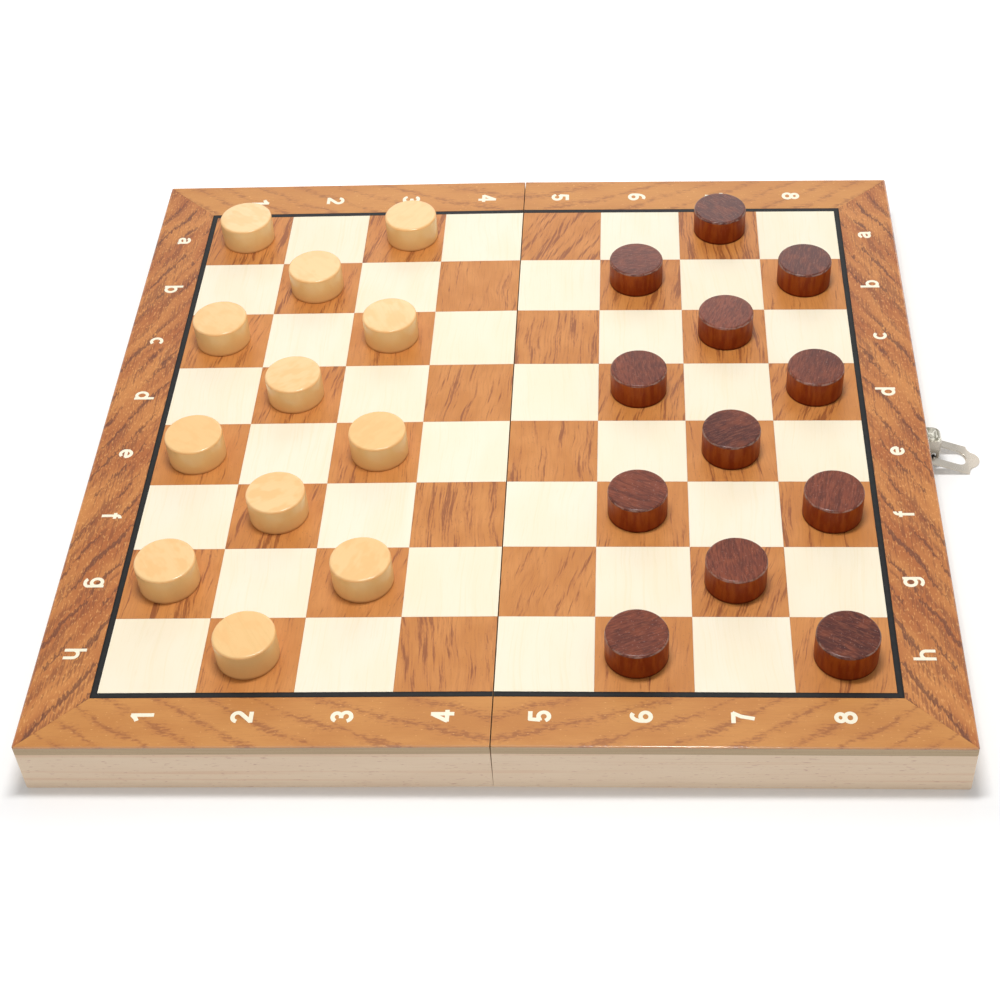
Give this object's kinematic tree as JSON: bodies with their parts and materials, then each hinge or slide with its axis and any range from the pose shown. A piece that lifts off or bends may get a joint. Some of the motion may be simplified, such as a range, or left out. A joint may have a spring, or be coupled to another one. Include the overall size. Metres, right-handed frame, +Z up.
{
  "type": "folding board game case",
  "caption": "Wooden box that opens flat into a chequered board with draughtsmen, hinged along the seam and shut by a hasp.",
  "frame": {"origin": "on the axis of the fold, at the middle of the board's depth; the open board stands 1 mm below it", "axes": "+X across the columns towards the hasp, +Y from the front to the back along the fold, +Z up out of the playing side"},
  "size_m": [0.317, 0.288, 0.0313],
  "materials": {
    "pine": "satin",
    "core_board": "matte",
    "end_border_veneer": "satin",
    "side_border_veneer": "satin",
    "light_veneer": "satin",
    "dark_veneer": "satin",
    "black_line": "satin",
    "sheet_steel": "satin",
    "light_man_wood": "gloss",
    "dark_man_wood": "gloss",
    "hinge_brass": "satin",
    "nickel_plate": "gloss",
    "coordinate_paint": "satin"
  },
  "bodies": {
    "left_half": {"back_hinge_left_leaf": "hinge_brass", "back_hinge_pin": "hinge_brass", "catch_nails": "nickel_plate", "catch_plate": "nickel_plate", "front_hinge_left_leaf": "hinge_brass", "front_hinge_pin": "hinge_brass", "left_back_rail": "pine", "left_dark_squares": "dark_veneer", "left_end_borders": "end_border_veneer", "left_front_rail": "pine", "left_hinge_screws": "hinge_brass", "left_light_squares": "light_veneer", "left_line_inlay": "black_line", "left_outer_rail": "pine", "left_panel": "core_board", "left_seam_rail": "pine", "left_side_border": "side_border_veneer", "left_steel_sheet": "sheet_steel"},
    "right_half": {"back_hinge_right_leaf": "hinge_brass", "front_hinge_right_leaf": "hinge_brass", "hasp_nails": "nickel_plate", "hasp_plate": "nickel_plate", "right_back_rail": "pine", "right_dark_squares": "dark_veneer", "right_end_borders": "end_border_veneer", "right_front_rail": "pine", "right_hinge_screws": "hinge_brass", "right_light_squares": "light_veneer", "right_line_inlay": "black_line", "right_outer_rail": "pine", "right_panel": "core_board", "right_seam_rail": "pine", "right_side_border": "side_border_veneer", "right_steel_sheet": "sheet_steel"},
    "hasp_loop": {"hasp_loop": "nickel_plate"},
    "man_a7": {"dark_man_a7": "dark_man_wood"},
    "man_b6": {"dark_man_b6": "dark_man_wood"},
    "man_b8": {"dark_man_b8": "dark_man_wood"},
    "man_c7": {"dark_man_c7": "dark_man_wood"},
    "man_d6": {"dark_man_d6": "dark_man_wood"},
    "man_d8": {"dark_man_d8": "dark_man_wood"},
    "man_e7": {"dark_man_e7": "dark_man_wood"},
    "man_f6": {"dark_man_f6": "dark_man_wood"},
    "man_f8": {"dark_man_f8": "dark_man_wood"},
    "man_g7": {"dark_man_g7": "dark_man_wood"},
    "man_h6": {"dark_man_h6": "dark_man_wood"},
    "man_h8": {"dark_man_h8": "dark_man_wood"},
    "man_a1": {"light_man_a1": "light_man_wood"},
    "man_a3": {"light_man_a3": "light_man_wood"},
    "man_b2": {"light_man_b2": "light_man_wood"},
    "man_c1": {"light_man_c1": "light_man_wood"},
    "man_c3": {"light_man_c3": "light_man_wood"},
    "man_d2": {"light_man_d2": "light_man_wood"},
    "man_e1": {"light_man_e1": "light_man_wood"},
    "man_e3": {"light_man_e3": "light_man_wood"},
    "man_f2": {"light_man_f2": "light_man_wood"},
    "man_g1": {"light_man_g1": "light_man_wood"},
    "man_g3": {"light_man_g3": "light_man_wood"},
    "man_h2": {"light_man_h2": "light_man_wood"}
  },
  "joints": [
    {"name": "board_fold", "type": "hinge", "parent": "left_half", "child": "right_half", "pos_m": [0, 0, 0], "axis": [0, 1, 0], "range_deg": [-0.8, 179.1]},
    {"name": "hasp_swing", "type": "hinge", "parent": "right_half", "child": "hasp_loop", "pos_m": [0.14923, 0, 0.00412], "axis": [0, 1, 0], "range_deg": [-115, 70]},
    {"name": "lift_a7", "type": "slide", "parent": "right_half", "child": "man_a7", "axis": [0.0072, 0, 1], "range_m": [0, 0.03]},
    {"name": "lift_b6", "type": "slide", "parent": "right_half", "child": "man_b6", "axis": [0.0072, 0, 1], "range_m": [0, 0.03]},
    {"name": "lift_b8", "type": "slide", "parent": "right_half", "child": "man_b8", "axis": [0.0072, 0, 1], "range_m": [0, 0.03]},
    {"name": "lift_c7", "type": "slide", "parent": "right_half", "child": "man_c7", "axis": [0.0072, 0, 1], "range_m": [0, 0.03]},
    {"name": "lift_d6", "type": "slide", "parent": "right_half", "child": "man_d6", "axis": [0.0072, 0, 1], "range_m": [0, 0.03]},
    {"name": "lift_d8", "type": "slide", "parent": "right_half", "child": "man_d8", "axis": [0.0072, 0, 1], "range_m": [0, 0.03]},
    {"name": "lift_e7", "type": "slide", "parent": "right_half", "child": "man_e7", "axis": [0.0072, 0, 1], "range_m": [0, 0.03]},
    {"name": "lift_f6", "type": "slide", "parent": "right_half", "child": "man_f6", "axis": [0.0072, 0, 1], "range_m": [0, 0.03]},
    {"name": "lift_f8", "type": "slide", "parent": "right_half", "child": "man_f8", "axis": [0.0072, 0, 1], "range_m": [0, 0.03]},
    {"name": "lift_g7", "type": "slide", "parent": "right_half", "child": "man_g7", "axis": [0.0072, 0, 1], "range_m": [0, 0.03]},
    {"name": "lift_h6", "type": "slide", "parent": "right_half", "child": "man_h6", "axis": [0.0072, 0, 1], "range_m": [0, 0.03]},
    {"name": "lift_h8", "type": "slide", "parent": "right_half", "child": "man_h8", "axis": [0.0072, 0, 1], "range_m": [0, 0.03]},
    {"name": "lift_a1", "type": "slide", "parent": "left_half", "child": "man_a1", "axis": [-0.0072, 0, 1], "range_m": [0, 0.03]},
    {"name": "lift_a3", "type": "slide", "parent": "left_half", "child": "man_a3", "axis": [-0.0072, 0, 1], "range_m": [0, 0.03]},
    {"name": "lift_b2", "type": "slide", "parent": "left_half", "child": "man_b2", "axis": [-0.0072, 0, 1], "range_m": [0, 0.03]},
    {"name": "lift_c1", "type": "slide", "parent": "left_half", "child": "man_c1", "axis": [-0.0072, 0, 1], "range_m": [0, 0.03]},
    {"name": "lift_c3", "type": "slide", "parent": "left_half", "child": "man_c3", "axis": [-0.0072, 0, 1], "range_m": [0, 0.03]},
    {"name": "lift_d2", "type": "slide", "parent": "left_half", "child": "man_d2", "axis": [-0.0072, 0, 1], "range_m": [0, 0.03]},
    {"name": "lift_e1", "type": "slide", "parent": "left_half", "child": "man_e1", "axis": [-0.0072, 0, 1], "range_m": [0, 0.03]},
    {"name": "lift_e3", "type": "slide", "parent": "left_half", "child": "man_e3", "axis": [-0.0072, 0, 1], "range_m": [0, 0.03]},
    {"name": "lift_f2", "type": "slide", "parent": "left_half", "child": "man_f2", "axis": [-0.0072, 0, 1], "range_m": [0, 0.03]},
    {"name": "lift_g1", "type": "slide", "parent": "left_half", "child": "man_g1", "axis": [-0.0072, 0, 1], "range_m": [0, 0.03]},
    {"name": "lift_g3", "type": "slide", "parent": "left_half", "child": "man_g3", "axis": [-0.0072, 0, 1], "range_m": [0, 0.03]},
    {"name": "lift_h2", "type": "slide", "parent": "left_half", "child": "man_h2", "axis": [-0.0072, 0, 1], "range_m": [0, 0.03]}
  ]
}
